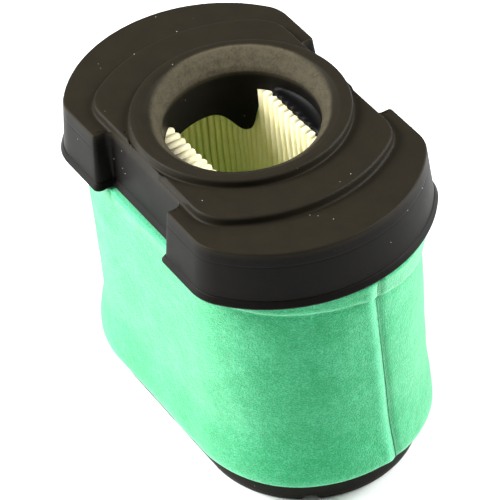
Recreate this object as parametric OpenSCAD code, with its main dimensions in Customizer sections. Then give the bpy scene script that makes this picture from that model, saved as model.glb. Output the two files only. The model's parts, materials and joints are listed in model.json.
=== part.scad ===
// Oval air filter cartridge of a small engine: two moulded rubber end caps, a pleated
// paper ring potted between them, and a foam pre-cleaner sleeve that slips off downwards.
// Millimetres. The long axis is X, +Z is up, and the origin is the middle of the base.

/* [Overall] */
// Height from the base to the top of the port ring
total_h = 136; // [115:0.2:160]
// Half of the straight length that every oval outline shares
spine = 30.1; // [20:0.1:45]

/* [Top cap] */
// Half width of the top cap over its straight sides
cap_hw = 48.8; // [46:0.1:52]
// Half length of the top cap
cap_hl = 77.2; // [72:0.1:84]
// Radius of the long end arcs of the top cap
cap_end_r = 56; // [50:0.5:62]
// Radius of the soft corners of the top cap
cap_corner_r = 16; // [8:0.5:24]
// How far the lip stands out from the skirt
lip_out = 1.8; // [0.5:0.1:3]
// Thickness of the lip
lip_t = 2.6; // [1.5:0.1:5]
// Height from the underside of the lip to the lowest top face
skirt_h = 23.4; // [18:0.1:30]
// Half width of the cap between the two waist notches
waist_hw = 42.2; // [41:0.1:44]
// Half length of a waist notch
waist_hl = 24.6; // [18:0.1:30]
// Radius of the rounding at both ends of a notch
waist_r = 3; // [1.5:0.1:4]

/* [Steps and port] */
// Height of each of the two steps in the top
step_h = 3.45; // [2:0.05:5]
// Half length of the middle step
tier_hl = 56.6; // [50:0.1:62]
// Half width of the middle step
tier_hw = 41; // [38:0.1:41.5]
// Radius of the port ring
ring_r = 40.7; // [38:0.1:40.9]
// Radius at the flat crest of the port ring, where the funnel starts
crest_r = 37.4; // [35:0.1:38]
// Radius of the port throat
throat_r = 29.2; // [26:0.1:32]
// Depth of the funnel that leads into the throat
funnel_h = 6.3; // [4:0.1:9]
// Length of the throat below the funnel
throat_l = 6.6; // [5:0.1:7.5]
// Thickness of the ledge that covers the tops of the pleats beside the throat
ledge_t = 2.4; // [2:0.1:4]
// Depth of the rubber under the top at the two ends of the clean-air space
roof_t = 17; // [14:0.5:18]
// How far the wall below the throat steps in, at those two ends
throat_step = 0.8; // [0.4:0.1:1.5]

/* [Bottom cap] */
// Radius of the round ends of the bottom cap
base_r = 42.4; // [40.5:0.1:42.4]
// Height of the bottom cap
base_h = 15; // [13:0.5:18]
// Thickness of the rubber under the paper
base_floor_t = 5; // [4.5:0.5:7]
// Depth of the recess under the bottom cap
base_recess = 3; // [1:0.5:3.5]
// Width of the rim that the cartridge stands on
base_rim_w = 7; // [4:0.5:12]
// Radius of the small arch in the rim
arch_r = 3; // [1.5:0.1:3]

/* [Paper] */
// Radius of the outer pleat folds round the ends
pleat_ro = 38.4; // [36:0.1:38.6]
// Radius of the inner pleat folds round the ends
pleat_ri = 21; // [18:0.1:24]
// Depth of paper at a fold, measured along the pleat
fold_d = 4; // [3:0.1:6]
// Number of pleats along each straight side
side_pleats = 16; // [12:1:20]
// Number of pleats round each end
end_pleats = 24; // [14:1:24]
// How far the paper is set into the rubber at each end
paper_set = 1.5; // [1:0.1:1.8]
// Radius of the two adhesive beads that space the pleats
bead_r = 0.9; // [0.5:0.1:1.2]

/* [Foam sleeve] */
// Radius of the outside of the sleeve round the ends
foam_ro = 47.2; // [47:0.1:48.4]
// Wall thickness of the sleeve
foam_t = 4.5; // [4:0.1:4.6]
// Height of the lower edge of the sleeve above the base
foam_z = 12; // [6:0.5:12.5]
// Gap between the sleeve and the underside of the top cap
foam_gap = 0.3; // [0.2:0.1:1]
// Width of the glued butt joint in the sleeve
seam_w = 1.6; // [1:0.1:3]
// Distance of the butt joint from the middle of the end
seam_y = 7; // [0:0.5:15]

/* [Hidden] */
$fn = 96;
cut = 0.1;
ring_z = total_h - step_h;
tier_z = ring_z - step_h;
lip_z = tier_z - skirt_h;
funnel_z = total_h - funnel_h;
ledge_z = funnel_z - throat_l;
roof_z = tier_z - roof_t;
pocket_z = ledge_z - ledge_t;
paper_top = pocket_z + paper_set;
socket_gap = 0.15;
total_pleats = 2 * (side_pleats + end_pleats);
bead_z = [35, 75];
foam_top = lip_z - foam_gap;
arch_a = 32;

// A straight-sided oval: a rectangle with a half circle at each end
module oval(r) {
    square([2 * spine, 2 * r], center = true);
    for (sx = [-1, 1]) translate([sx * spine, 0]) circle(r);
}

// Straight sides, soft corners and long end arcs that meet them smoothly
module lobed(hl, hw, end_r, corner_r) {
    end_c = hl - end_r;
    drop = hw - corner_r;
    corner_c = end_c + sqrt(pow(end_r - corner_r, 2) - drop * drop);
    a = atan2(drop, corner_c - end_c);
    square([2 * corner_c, 2 * hw], center = true);
    for (sx = [-1, 1], sy = [-1, 1])
        translate([sx * corner_c, sy * drop]) circle(corner_r);
    for (sx = [0, 1]) mirror([sx, 0]) intersection() {
        translate([end_c, 0]) circle(end_r);
        polygon([[end_c, 0], [end_c + 2 * end_r, 2 * end_r * tan(a)],
                 [end_c + 2 * end_r, -2 * end_r * tan(a)]]);
    }
}

// One waist notch, cut from the side at +y: rounded inner corners
module notch(hw, hl, depth) {
    inner = hl - waist_r;
    translate([-inner, hw]) square([2 * inner, depth]);
    translate([-hl, hw + waist_r]) square([2 * hl, depth]);
    for (sx = [-1, 1]) translate([sx * inner, hw + waist_r]) circle(waist_r);
}

module waisted(hl, hw, end_r, corner_r, waist) {
    difference() {
        lobed(hl, hw, end_r, corner_r);
        for (sy = [0, 1]) mirror([0, sy]) notch(waist, waist_hl, hw);
    }
}

// A point at distance r from the spine, at pleat number s on the way round
function around(s, r) =
    s < side_pleats ? [2 * spine * s / side_pleats - spine, -r]
    : s < side_pleats + end_pleats
        ? let (a = 180 * (s - side_pleats) / end_pleats - 90) [spine + r * cos(a), r * sin(a)]
    : -around(s - side_pleats - end_pleats, r);

// A zigzag loop with its outer folds at radius ro and its inner folds at radius ri
function zigzag(ro, ri) = [for (i = [0 : total_pleats - 1], h = [0, 1])
    around(i + h / 2, h == 0 ? ro : ri)];

module top_cap() {
    color([0.17, 0.155, 0.13]) difference() {
        union() {
            translate([0, 0, lip_z]) linear_extrude(lip_t)
                waisted(cap_hl + lip_out, cap_hw + lip_out, cap_end_r + lip_out,
                        cap_corner_r + lip_out, waist_hw + lip_out);
            translate([0, 0, lip_z]) linear_extrude(skirt_h)
                waisted(cap_hl, cap_hw, cap_end_r, cap_corner_r, waist_hw);
            translate([0, 0, tier_z - cut]) linear_extrude(step_h + cut)
                lobed(tier_hl, tier_hw, tier_hl, cap_corner_r);
            translate([0, 0, ring_z - cut]) cylinder(h = step_h + cut, r = ring_r);
        }
        translate([0, 0, funnel_z])
            cylinder(h = funnel_h + cut / 10, r1 = throat_r, r2 = crest_r);
        translate([0, 0, ledge_z]) cylinder(h = throat_l + cut, r = throat_r);
        translate([0, 0, lip_z - cut]) linear_extrude(pocket_z - lip_z + cut) difference() {
            oval(pleat_ro + socket_gap);
            oval(pleat_ri - socket_gap);
        }
        translate([0, 0, lip_z - cut]) linear_extrude(roof_z - lip_z + cut)
            oval(pleat_ri);
        translate([0, 0, lip_z]) linear_extrude(ledge_z - lip_z + cut) intersection() {
            circle(throat_r - throat_step);
            oval(pleat_ri);
        }
    }
}

module bottom_cap() {
    color([0.12, 0.12, 0.11]) difference() {
        linear_extrude(base_h) oval(base_r);
        translate([0, 0, -cut]) linear_extrude(base_recess + cut) oval(base_r - base_rim_w);
        translate([0, 0, base_floor_t + paper_set]) linear_extrude(base_h)
            oval(pleat_ro + socket_gap);
        translate([spine, 0, 0]) rotate([0, 0, -arch_a]) translate([base_r - base_rim_w - cut, 0, 0])
            rotate([0, 90, 0]) cylinder(h = base_rim_w + 1, r = arch_r);
    }
}

module pleated_paper() {
    color([0.95, 0.92, 0.78])
    translate([0, 0, base_floor_t]) linear_extrude(paper_top - base_floor_t) difference() {
        polygon(zigzag(pleat_ro, pleat_ri + fold_d));
        polygon(zigzag(pleat_ro - fold_d, pleat_ri));
    }
}

// Adhesive in one outer valley, where the two ends of the paper strip meet
module paper_joint() {
    tip = pleat_ri + fold_d;
    mid = (tip + pleat_ro) / 2;
    joint_s = side_pleats / 4 + 0.5;
    pitch = 2 * spine / side_pleats;
    x = 2 * spine * joint_s / side_pleats - spine;
    half = pitch / 2 * (mid - tip) / (pleat_ro - tip);
    color([0.85, 0.8, 0.6]) translate([x, 0, base_h + 0.5])
        linear_extrude(lip_z - base_h - 1) polygon([[0, tip], [half, mid], [-half, mid]]);
}

// A round bead that runs right round the outer folds at height z
module pleat_bead(z) {
    color([0.92, 0.9, 0.8]) translate([0, 0, z]) {
        for (sx = [0, 1]) mirror([sx, 0, 0]) translate([spine, 0, 0])
            rotate([0, 0, -90]) rotate_extrude(angle = 180)
                translate([pleat_ro, 0]) circle(bead_r, $fn = 24);
        for (sy = [-1, 1]) translate([-spine, sy * pleat_ro, 0])
            rotate([0, 90, 0]) cylinder(h = 2 * spine, r = bead_r, $fn = 24);
    }
}

// The gap left for the butt joint, through the end wall at +x
module seam_slot(w) {
    translate([spine, seam_y - w / 2]) square([foam_ro, w]);
}

module foam_sleeve() {
    color([0.27, 0.8, 0.6]) translate([0, 0, foam_z]) linear_extrude(foam_top - foam_z)
        difference() {
            oval(foam_ro);
            oval(foam_ro - foam_t);
            seam_slot(seam_w);
        }
}

module foam_seam() {
    color([0.4, 0.88, 0.7]) translate([0, 0, foam_z]) linear_extrude(foam_top - foam_z)
        intersection() {
            difference() {
                oval(foam_ro);
                oval(foam_ro - foam_t);
            }
            seam_slot(seam_w);
        }
}

top_cap();
bottom_cap();
pleated_paper();
paper_joint();
pleat_bead(bead_z[1]);  // upper_pleat_bead
pleat_bead(bead_z[0]);  // lower_pleat_bead
foam_sleeve();
foam_seam();
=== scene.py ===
"""Looks of an oval air filter cartridge: rubber caps, pleated paper and a foam pre-cleaner.

Sizes are in millimetres in the classes below and are turned into metres when a mesh is made.
The long axis is X, +Z is up, and the seam of the foam is near the end at +X.
"""

import json
import logging
import math
from dataclasses import dataclass
from enum import Enum
from typing import Any, Callable, Iterable, Optional, Sequence

import bmesh
import bpy
import numpy as np
from mathutils import Matrix, Vector, noise

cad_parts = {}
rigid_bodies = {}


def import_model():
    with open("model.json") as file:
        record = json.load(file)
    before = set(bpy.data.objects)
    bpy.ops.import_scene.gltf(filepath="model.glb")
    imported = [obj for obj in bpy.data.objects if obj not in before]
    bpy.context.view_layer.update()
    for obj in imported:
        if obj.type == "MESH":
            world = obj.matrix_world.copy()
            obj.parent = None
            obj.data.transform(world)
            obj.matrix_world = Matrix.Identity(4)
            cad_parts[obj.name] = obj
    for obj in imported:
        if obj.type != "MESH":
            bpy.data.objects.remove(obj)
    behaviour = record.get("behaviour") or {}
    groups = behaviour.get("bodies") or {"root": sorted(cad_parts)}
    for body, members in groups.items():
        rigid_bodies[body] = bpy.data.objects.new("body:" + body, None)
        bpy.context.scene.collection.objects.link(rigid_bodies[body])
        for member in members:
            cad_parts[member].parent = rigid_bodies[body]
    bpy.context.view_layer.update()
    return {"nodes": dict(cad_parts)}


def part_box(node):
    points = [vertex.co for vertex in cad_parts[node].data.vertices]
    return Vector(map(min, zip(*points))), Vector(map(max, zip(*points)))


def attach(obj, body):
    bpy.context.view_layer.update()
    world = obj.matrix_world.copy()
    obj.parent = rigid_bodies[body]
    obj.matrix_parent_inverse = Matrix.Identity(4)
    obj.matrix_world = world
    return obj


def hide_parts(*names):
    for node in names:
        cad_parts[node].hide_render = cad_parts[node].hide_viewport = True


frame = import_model()

MM = 0.001
LOG = logging.getLogger("filter")
Profile = list[tuple[float, float]]
Colour = tuple[float, float, float, float]
Window = tuple[float, float]

# Parts of a noise's range that its ramp stretches to 0..1, from sharp to faint
CRISP: Window = (0.35, 0.65)
SOFT: Window = (0.3, 0.7)
FAINT: Window = (0.25, 0.75)

# Points closer than this become one
WELD_MM = 0.001
SKIN_WELD_MM = 0.002
FOLD_WELD_MM = 0.05


class Body(Enum):
    """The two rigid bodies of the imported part."""

    SLEEVE = "sleeve"
    CARTRIDGE = "cartridge"


class Slot(Enum):
    """The record's material slots."""

    RUBBER = "cap_rubber"
    PAPER = "filter_paper"
    ADHESIVE = "adhesive"
    FOAM = "green_foam"
    SEAM = "seam_glue"


# -- sizes from the frame

@dataclass(frozen=True)
class Span:
    """Half length, half width, lowest and highest level of a CAD node, in millimetres."""

    half_x: float
    half_y: float
    low: float
    high: float

    @classmethod
    def of(cls, node: str) -> "Span":
        """Measures one CAD node.

        Args:
            node: The node's name.

        Returns:
            Its span about the Z axis.
        """
        low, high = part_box(node)
        return cls(high.x / MM, high.y / MM, low.z / MM, high.z / MM)

    @property
    def spine(self) -> float:
        """Half the straight length of a straight-sided oval."""
        return self.half_x - self.half_y


# -- shader and geometry nodes

class Wire:
    """A node socket that takes part in Python arithmetic on plain numbers."""

    def __init__(self, tree: bpy.types.NodeTree, socket: Any) -> None:
        """Wraps an output socket of a tree."""
        self.tree = tree
        self.socket = socket

    def _math(self, operation: str, *values: Any) -> "Wire":
        """Adds a Math node.

        Args:
            operation: The Math node's operation.
            values: Numbers or wires for its inputs, in order.

        Returns:
            The node's result.
        """
        node = self.tree.nodes.new("ShaderNodeMath")
        node.operation = operation
        for socket, value in zip(node.inputs, values):
            plug(self.tree, socket, value)
        return Wire(self.tree, node.outputs[0])

    def __add__(self, other: Any) -> "Wire":
        """Sum."""
        return self._math("ADD", self, other)

    def __radd__(self, other: Any) -> "Wire":
        """Sum with the number first."""
        return self._math("ADD", other, self)

    def __sub__(self, other: Any) -> "Wire":
        """Difference."""
        return self._math("SUBTRACT", self, other)

    def __rsub__(self, other: Any) -> "Wire":
        """Difference with the number first."""
        return self._math("SUBTRACT", other, self)

    def __mul__(self, other: Any) -> "Wire":
        """Product."""
        return self._math("MULTIPLY", self, other)

    def __rmul__(self, other: Any) -> "Wire":
        """Product with the number first."""
        return self._math("MULTIPLY", other, self)

    def __truediv__(self, other: Any) -> "Wire":
        """Quotient."""
        return self._math("DIVIDE", self, other)

    def cos(self) -> "Wire":
        """Cosine of this value."""
        return self._math("COSINE", self)

    def sin(self) -> "Wire":
        """Sine of this value."""
        return self._math("SINE", self)

    def clamp(self) -> "Wire":
        """This value kept between 0 and 1."""
        return self._math("MINIMUM", self._math("MAXIMUM", self, 0.0), 1.0)

    def ramp(self, low: float, high: float) -> "Wire":
        """0 at low, 1 at high, straight between them and flat outside."""
        return ((self - low) / (high - low)).clamp()


def plug(tree: bpy.types.NodeTree, socket: Any, value: Any) -> None:
    """Links a wire to a socket, or sets a plain value on it.

    Args:
        tree: The tree that holds the socket.
        socket: An input socket.
        value: A wire, a number, a vector or a colour.
    """
    if isinstance(value, Wire):
        tree.links.new(value.socket, socket)
    else:
        socket.default_value = value


class Tree:
    """A node tree that is being built."""

    def __init__(self, tree: bpy.types.NodeTree) -> None:
        """Takes up a tree."""
        self.tree = tree

    def node(self, kind: str, settings: Optional[dict[str, Any]] = None,
             values: Optional[dict[Any, Any]] = None, out: Any = 0) -> Wire:
        """Adds any node; a list of wires goes to one multi-input socket.

        Args:
            kind: The node's type.
            settings: Its properties, set first.
            values: Its sockets' values or wires, by name or index.
            out: The output to return, by name or index.

        Returns:
            The chosen output.
        """
        made = self.tree.nodes.new(kind)
        for key, value in (settings or {}).items():
            setattr(made, key, value)
        for key, value in (values or {}).items():
            for part in value if isinstance(value, list) else [value]:
                plug(self.tree, made.inputs[key], part)
        return Wire(self.tree, made.outputs[out])


class Shader(Tree):
    """Builds one material's node tree."""

    MIX_SOCKETS = (0, 6, 7)
    MIX_RESULT = 2

    def __init__(self, name: str) -> None:
        """Starts an empty material with this name."""
        self.material = bpy.data.materials.new(name)
        self.material.use_nodes = True
        super().__init__(self.material.node_tree)
        self.tree.nodes.clear()

    def place(self) -> Wire:
        """The piece's own coordinates, in metres."""
        return self.node("ShaderNodeTexCoord", out="Object")

    def noise(self, size_mm: float, detail: float = 3.0, roughness: float = 0.55,
              stretch: Sequence[float] = (1, 1, 1), seed: float = 0.0) -> Wire:
        """Smooth noise whose features are about size_mm across.

        Args:
            size_mm: Feature size.
            detail: Number of finer layers.
            roughness: Strength of the finer layers.
            stretch: Squeeze of each axis: above 1 is finer.
            seed: Shift of the pattern, in metres.

        Returns:
            A value round 0.5.
        """
        spot = self.node("ShaderNodeMapping", values={
            "Vector": self.place(), "Scale": tuple(stretch), "Location": (seed, seed, seed)})
        return self.node("ShaderNodeTexNoise", values={
            "Vector": spot, "Scale": 1 / (size_mm * MM), "Detail": detail,
            "Roughness": roughness})

    def cells(self, size_mm: float) -> Wire:
        """Distance to the nearest of many scattered points, about size_mm apart."""
        return self.node("ShaderNodeTexVoronoi", values={
            "Vector": self.place(), "Scale": 1 / (size_mm * MM)}, out="Distance")

    def attribute(self, name: str) -> Wire:
        """A number stored at the points of the mesh."""
        return self.node("ShaderNodeAttribute", {"attribute_name": name}, out="Fac")

    def mix(self, factor: Any, first: Any, second: Any) -> Wire:
        """Blends two colours.

        Args:
            factor: Share of the second colour.
            first: A colour or wire.
            second: A colour or wire.

        Returns:
            The blended colour.
        """
        values = dict(zip(self.MIX_SOCKETS, (factor, first, second)))
        return self.node("ShaderNodeMix", {"data_type": "RGBA"}, values, self.MIX_RESULT)

    def bump(self, height: Wire, depth_mm: float, strength: float,
             normal: Optional[Wire] = None) -> Wire:
        """Adds a Bump node.

        Args:
            height: The height, from 0 to 1.
            depth_mm: What a height of 1 stands for.
            strength: How much of it shows.
            normal: A coarser bump under this one.

        Returns:
            The bumped normal.
        """
        under = {} if normal is None else {"Normal": normal}
        return self.node("ShaderNodeBump", values={
            "Height": height, "Distance": depth_mm * MM, "Strength": strength, **under})

    def finish(self, values: dict[str, Any]) -> bpy.types.Material:
        """Ends the tree in a Principled shader.

        Args:
            values: Its sockets' values or wires.

        Returns:
            The material.
        """
        surface = self.node("ShaderNodeBsdfPrincipled", values=values)
        out = self.tree.nodes.new("ShaderNodeOutputMaterial")
        self.tree.links.new(surface.socket, out.inputs["Surface"])
        return self.material


class NodeGroup(Tree):
    """Builds one Geometry Nodes tree."""

    def __init__(self, name: str) -> None:
        """Starts a tree with a geometry input and output."""
        super().__init__(bpy.data.node_groups.new(name, "GeometryNodeTree"))
        for way in ("INPUT", "OUTPUT"):
            self.tree.interface.new_socket("Geometry", in_out=way,
                                           socket_type="NodeSocketGeometry")
        self.start = self.tree.nodes.new("NodeGroupInput")
        self.ids: dict[str, str] = {}

    def size(self, name: str, kind: str = "NodeSocketFloat") -> Wire:
        """Adds a named input.

        Args:
            name: The input's name.
            kind: Its socket type.

        Returns:
            The input's value inside the tree.
        """
        made = self.tree.interface.new_socket(name, in_out="INPUT", socket_type=kind)
        self.ids[name] = made.identifier
        return Wire(self.tree, self.start.outputs[name])

    @property
    def geometry(self) -> Wire:
        """The incoming geometry."""
        return Wire(self.tree, self.start.outputs["Geometry"])

    def end(self, geometry: Wire, material: Wire) -> None:
        """Realizes, welds and dresses the result, and sends it out.

        Args:
            geometry: What was built.
            material: The material input.
        """
        real = self.node("GeometryNodeRealizeInstances", values={"Geometry": geometry})
        weld = self.node("GeometryNodeMergeByDistance", values={
            "Geometry": real, "Distance": WELD_MM * MM})
        done = self.node("GeometryNodeSetMaterial", values={
            "Geometry": weld, "Material": material})
        out = self.tree.nodes.new("NodeGroupOutput")
        self.tree.links.new(done.socket, out.inputs["Geometry"])

    def apply(self, piece: bpy.types.Object, sizes: dict[str, Any]) -> bpy.types.Object:
        """Runs the tree on a piece and keeps the plain mesh.

        Args:
            piece: The piece whose mesh goes in.
            sizes: Values of the named inputs.

        Returns:
            The same piece, with the resulting mesh and no modifier.
        """
        modifier = piece.modifiers.new(self.tree.name, "NODES")
        modifier.node_group = self.tree
        for name, value in sizes.items():
            modifier[self.ids[name]] = value
        graph = bpy.context.evaluated_depsgraph_get()
        result = bpy.data.meshes.new_from_object(piece.evaluated_get(graph), depsgraph=graph)
        piece.modifiers.clear()
        old = piece.data
        piece.data = result
        bpy.data.meshes.remove(old)
        piece.data.shade_smooth()
        return piece


# -- finishes

@dataclass(frozen=True)
class RubberFinish:
    """Moulded black rubber: matt skin with fine grain, brownish bloom on top that is partly
    painted light making the tops lighter than the sides, and a dusty funnel with a painted
    reflection.
    """

    name: str = "moulded_rubber"
    skin: Colour = (0.0036, 0.0033, 0.0035, 1)
    # Brown of the tops: partly real bloom, partly painted light that makes the tops lighter than
    # the sides
    bloom_and_top_light: Colour = (0.0155, 0.0130, 0.0082, 1)
    # Colour of the funnel's dust, also used for the painted reflection and highlight on the side
    # towards -X
    dust: Colour = (0.082, 0.071, 0.046, 1)
    speck: Colour = (0.55, 0.53, 0.47, 1)
    mottle_mm: float = 9.0
    grain_mm: float = 0.6
    fine_mm: float = 0.24
    smear_mm: float = 3.0
    powder_mm: float = 0.8
    speck_gap_mm: float = 4.2
    speck_edge: Window = (0.03, 0.055)
    speckled_mm: float = 16.0
    speckled_edge: Window = (0.5, 0.56)
    even_bloom_and_light: float = 0.85
    even_dust: float = 0.25
    smeared_dust: float = 0.45
    powdery_dust: float = 0.6
    roughness: float = 0.46
    mottled_rough: float = 0.14
    dusty_rough: float = 0.3
    coarse_share: float = 0.6
    dust_height: float = 0.5
    grain_depth_mm: float = 0.05
    grain_strength: float = 0.6
    gloss: float = 0.07
    haze: float = 0.006
    haze_spread: float = 0.4

    def build(self) -> bpy.types.Material:
        """Makes the material.

        Returns:
            The rubber, which reads two attributes: the tops' bloom with painted light, and the
                funnel's dust with a painted reflection and highlight.
        """
        s = Shader(self.name)
        mottle = s.noise(self.mottle_mm, 4)
        grain = s.noise(self.grain_mm, 2)
        fine = s.noise(self.fine_mm, 2, seed=0.3)
        smear = s.noise(self.smear_mm, 4, 0.7, seed=0.5)
        # Share of funnel dust, with a painted reflection and a painted highlight line on the side
        # towards -X
        dust = s.attribute("dust")
        specks = 1 - s.cells(self.speck_gap_mm).ramp(*self.speck_edge)
        speckled = s.noise(self.speckled_mm, 2, seed=0.7).ramp(*self.speckled_edge)
        bloom_and_light_share = self.even_bloom_and_light + (1 - self.even_bloom_and_light) * mottle.ramp(*CRISP)
        # Painted light in part: the tops get the lighter brown bloom colour
        base = s.mix(s.attribute("top") * bloom_and_light_share, self.skin, self.bloom_and_top_light)
        powder = s.noise(self.powder_mm, 3, 0.75).ramp(*FAINT)
        dust_and_reflection_share = (dust * (self.even_dust + self.smeared_dust * smear.ramp(*SOFT)
                         + self.powdery_dust * powder)).clamp()
        base = s.mix(dust_and_reflection_share, base, self.dust)
        base = s.mix((specks * speckled).clamp(), base, self.speck)
        rough = (self.roughness + self.mottled_rough * (mottle - 0.5)
                 + self.dusty_rough * dust_and_reflection_share).clamp()
        height = (self.coarse_share * grain + (1 - self.coarse_share) * fine
                  + self.dust_height * dust * powder)
        return s.finish({
            "Base Color": base, "Roughness": rough, "Specular IOR Level": self.gloss,
            "Sheen Weight": self.haze, "Sheen Roughness": self.haze_spread,
            "Normal": s.bump(height, self.grain_depth_mm, self.grain_strength)})


@dataclass(frozen=True)
class FoamFinish:
    """Open-cell foam: fine cells with dark pores, fuzzy pale cut edges, soft light inside, painted
    shade in the seam's crease and a painted highlight along the collar's lower edge.
    """

    name: str = "green_foam"
    body: Colour = (0.013, 0.345, 0.122, 1)
    pale: Colour = (0.115, 0.60, 0.315, 1)
    # Colour of the dark pores, also used for the painted shade in the seam's crease
    pore_and_crease_shade: Colour = (0.002, 0.17, 0.055, 1)
    pore_gap_mm: float = 0.75
    pore_edge: Window = (0.05, 0.6)
    pore_clusters: Window = (0.36, 0.56)
    cell_walls: Window = (0.0, 0.55)
    tiny_mm: float = 0.6
    fuzz_mm: float = 1.1
    cloud_mm: float = 14.0
    wear_mm: float = 2.6
    cloud_share: float = 0.25
    wear_share: float = 0.3
    fuzz_share: float = 0.3
    tiny_share: float = 1.7
    cut_even: float = 0.4
    cut_fuzz: float = 0.6
    pore_depth: float = 0.95
    pore_on_cut: float = 0.5
    crease_even: float = 0.35
    crease_fuzz: float = 0.6
    wall_height: float = 0.7
    tiny_height: float = 0.6
    cell_depth_mm: float = 0.26
    cell_strength: float = 0.8
    wear_depth_mm: float = 0.35
    wear_strength: float = 0.4
    roughness: float = 0.92
    gloss: float = 0.2
    sheen: float = 0.7
    sheen_spread: float = 0.45
    sheen_tint: Colour = (0.70, 1.0, 0.80, 1)
    inner_light: float = 0.3
    inner_reach: tuple[float, float, float] = (0.4, 1.0, 0.7)
    inner_reach_mm: float = 3.0

    def build(self) -> bpy.types.Material:
        """Makes the material.

        Returns:
            The foam, which reads two attributes: the pale cut edges with a painted highlight on
                the collar's lower edge, and the painted shade of the seam's crease.
        """
        s = Shader(self.name)
        pores = s.cells(self.pore_gap_mm)
        tiny = s.noise(self.tiny_mm, 2, 0.6)
        fuzz = s.noise(self.fuzz_mm, 3, 0.7, seed=0.9)
        cloud = s.noise(self.cloud_mm, 3)
        wear = s.noise(self.wear_mm, 3, seed=0.4)
        # Pale edges of the foam, plus a painted highlight along the collar's lower edge
        cut = s.attribute("cut")
        tone = (self.cloud_share * cloud.ramp(*CRISP) + self.wear_share * wear.ramp(*SOFT)
                + self.fuzz_share * (fuzz - 0.5) + self.tiny_share * (tiny - 0.5)
                + cut * (self.cut_even + self.cut_fuzz * fuzz)).clamp()
        base = s.mix(tone, self.body, self.pale)
        dark = (1 - pores.ramp(*self.pore_edge)) * tiny.ramp(*self.pore_clusters)
        base = s.mix((dark * (self.pore_depth - self.pore_on_cut * cut)).clamp(), base, self.pore_and_crease_shade)
        # Painted shade: the seam's crease is darkened towards the pore colour
        shade = s.attribute("crease") * (self.crease_even + self.crease_fuzz * fuzz)
        base = s.mix(shade.clamp(), base, self.pore_and_crease_shade)
        height = pores.ramp(*self.cell_walls) * self.wall_height + tiny * self.tiny_height
        worn = s.bump(wear, self.wear_depth_mm, self.wear_strength)
        normal = s.bump(height, self.cell_depth_mm, self.cell_strength, worn)
        return s.finish({
            "Base Color": base, "Roughness": self.roughness, "Specular IOR Level": self.gloss,
            "Sheen Weight": self.sheen, "Sheen Roughness": self.sheen_spread,
            "Sheen Tint": self.sheen_tint, "Subsurface Weight": self.inner_light,
            "Subsurface Radius": self.inner_reach,
            "Subsurface Scale": self.inner_reach_mm * MM, "Normal": normal})


@dataclass(frozen=True)
class PaperFinish:
    """Resin-treated filter paper with a painted green glow: emission that stands for light coming
    through the foam.
    """

    name: str = "filter_paper"
    cream: Colour = (0.86, 0.76, 0.42, 1)
    pale: Colour = (0.92, 0.88, 0.64, 1)
    dark: Colour = (0, 0, 0, 1)
    # Colour of the painted glow: emission that stands for light coming through the foam
    glow: Colour = (0.006, 0.021, 0.0, 1)
    glow_strength: float = 1.0
    glow_even: float = 0.7
    glow_blotch: float = 0.6
    fibre_mm: float = 0.5
    fibre_stretch: tuple[float, float, float] = (1, 1, 0.5)
    fibre_share: float = 0.5
    fibre_depth_mm: float = 0.05
    fibre_strength: float = 0.6
    blotch_mm: float = 7.0
    roughness: float = 0.9
    gloss: float = 0.25

    def build(self) -> bpy.types.Material:
        """Makes the material.

        Returns:
            The paper, which reads the attribute inside, the share of painted glow.
        """
        s = Shader(self.name)
        fibre = s.noise(self.fibre_mm, 3, 0.65, self.fibre_stretch)
        blotch = s.noise(self.blotch_mm, 3)
        tone = self.fibre_share * fibre + (1 - self.fibre_share) * blotch
        base = s.mix(tone.ramp(*CRISP), self.cream, self.pale)
        # Painted glow: the deeper folds emit a dim green light
        lit = s.attribute("inside") * (self.glow_even + self.glow_blotch * blotch)
        return s.finish({
            "Base Color": base, "Roughness": self.roughness, "Specular IOR Level": self.gloss,
            "Emission Color": s.mix(lit.clamp(), self.dark, self.glow),
            "Emission Strength": self.glow_strength,
            "Normal": s.bump(fibre, self.fibre_depth_mm, self.fibre_strength)})


@dataclass(frozen=True)
class GlueFinish:
    """Set adhesive: slightly glossy, with a lumpy surface."""

    name: str
    tint: Colour
    deep: Colour
    roughness: float = 0.35
    lump_mm: float = 1.8
    lump_rough: float = 0.2
    lump_depth_mm: float = 0.15
    lump_strength: float = 0.5

    def build(self) -> bpy.types.Material:
        """Makes the material.

        Returns:
            The adhesive.
        """
        s = Shader(self.name)
        lump = s.noise(self.lump_mm, 2)
        return s.finish({
            "Base Color": s.mix(lump.ramp(*SOFT), self.tint, self.deep),
            "Roughness": (self.roughness + self.lump_rough * (lump - 0.5)).clamp(),
            "Normal": s.bump(lump, self.lump_depth_mm, self.lump_strength)})


@dataclass(frozen=True)
class FloorFinish:
    """A pale plain floor with a barely visible grain."""

    name: str = "pale_floor"
    tone: Colour = (0.92, 0.92, 0.92, 1)
    light: Colour = (0.93, 0.93, 0.93, 1)
    grain_mm: float = 60.0
    roughness: float = 0.9
    gloss: float = 0.1

    def build(self) -> bpy.types.Material:
        """Makes the material.

        Returns:
            The floor's finish.
        """
        s = Shader(self.name)
        base = s.mix(s.noise(self.grain_mm, 2).ramp(*SOFT), self.tone, self.light)
        return s.finish({"Base Color": base, "Roughness": self.roughness,
                         "Specular IOR Level": self.gloss})


# -- mesh helpers

def linked(name: str, data: Any) -> bpy.types.Object:
    """Makes an object and puts it in the scene.

    Args:
        name: The object's name.
        data: Its mesh, camera or light.

    Returns:
        The object.
    """
    made = bpy.data.objects.new(name, data)
    bpy.context.scene.collection.objects.link(made)
    return made


def at_height(loop: np.ndarray, z: Any) -> np.ndarray:
    """Points (x, y) lifted to one height, or to a height each."""
    return np.column_stack([loop, np.broadcast_to(z, len(loop))])


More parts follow.
